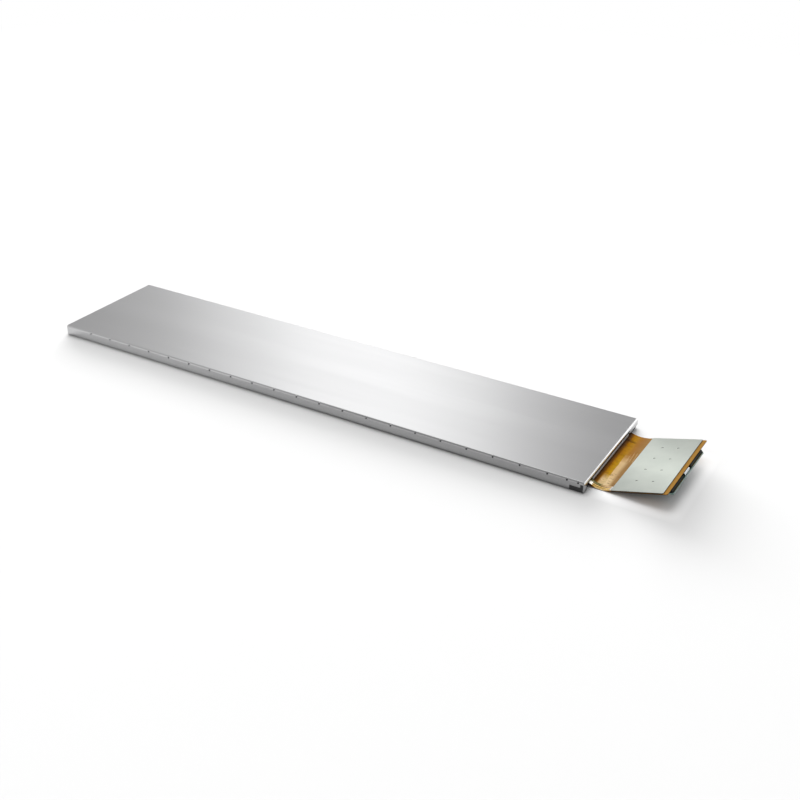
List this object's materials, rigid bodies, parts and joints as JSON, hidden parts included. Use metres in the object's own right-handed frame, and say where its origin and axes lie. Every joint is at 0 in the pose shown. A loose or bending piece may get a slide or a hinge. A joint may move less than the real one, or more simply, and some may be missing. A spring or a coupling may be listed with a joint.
{
  "type": "bar display module",
  "caption": "Slim stretched liquid crystal display module, face down: satin metal rear tray over the cell, with an amber flexible circuit and stiffened end at one short side.",
  "frame": {"origin": "on the outer face of the front polariser, at the middle of the tray's length and width", "axes": "the module lies on its display face: +Z out of the rear tray, +X towards the flexible circuit, -Y the side with the backlight lamps"},
  "size_m": [0.2649, 0.0534, 0.0066],
  "materials": {
    "tray_metal": "satin rolled sheet, fine even grain",
    "frame_plastic": "moulded, fine matte",
    "cell_glass": "polished",
    "polariser_film": "smooth hard coat",
    "black_tape": "matte film",
    "clear_film": "micro prisms",
    "diffuser_white": "frosted film",
    "guide_acrylic": "clear, dotted rear face",
    "reflector_white": "bright white film",
    "flex_polyimide": "amber film over copper",
    "lamp_body": "moulded",
    "lamp_phosphor": "cast resin",
    "chip_silicon": "bare die",
    "clear_coating": "soft clear bead",
    "plate_laminate": "glass-epoxy laminate, satin",
    "plate_adhesive": "pressure-sensitive film",
    "board_laminate": "dark green solder mask",
    "connector_plastic": "moulded",
    "gold_contact": "gold-plated",
    "tin_plate": "bright tin plate",
    "solder": "smooth solder fillet",
    "ceramic_body": "fired ceramic, plated ends",
    "package_black": "moulded package"
  },
  "bodies": {
    "root": {"rear_tray": "tray_metal", "mid_frame": "frame_plastic", "tft_glass": "cell_glass", "colour_filter_glass": "cell_glass", "front_polariser": "polariser_film", "rear_polariser": "polariser_film", "rim_light_tape": "black_tape", "upper_prism_film": "clear_film", "lower_prism_film": "clear_film", "diffuser_film": "diffuser_white", "light_guide_plate": "guide_acrylic", "reflector_sheet": "reflector_white", "lamp_strip": "flex_polyimide", "lamps": "lamp_body", "lamp_windows": "lamp_phosphor", "driver_chip": "chip_silicon", "ledge_coating": "clear_coating", "main_flex": "flex_polyimide", "tail_solder": "solder", "stiffener_adhesive": "plate_adhesive", "stiffener_plate": "plate_laminate", "insulating_tape": "black_tape", "interface_board": "board_laminate", "board_socket_near": "connector_plastic", "board_socket_far": "connector_plastic", "flex_plug_near": "connector_plastic", "flex_plug_far": "connector_plastic", "socket_contacts_near": "gold_contact", "socket_contacts_far": "gold_contact", "ground_clip": "tin_plate", "flex_capacitors": "ceramic_body", "board_capacitors": "ceramic_body", "voltage_regulator": "package_black", "cable_socket": "connector_plastic", "cable_contacts": "gold_contact", "socket_anchors": "tin_plate"}
  },
  "joints": []
}
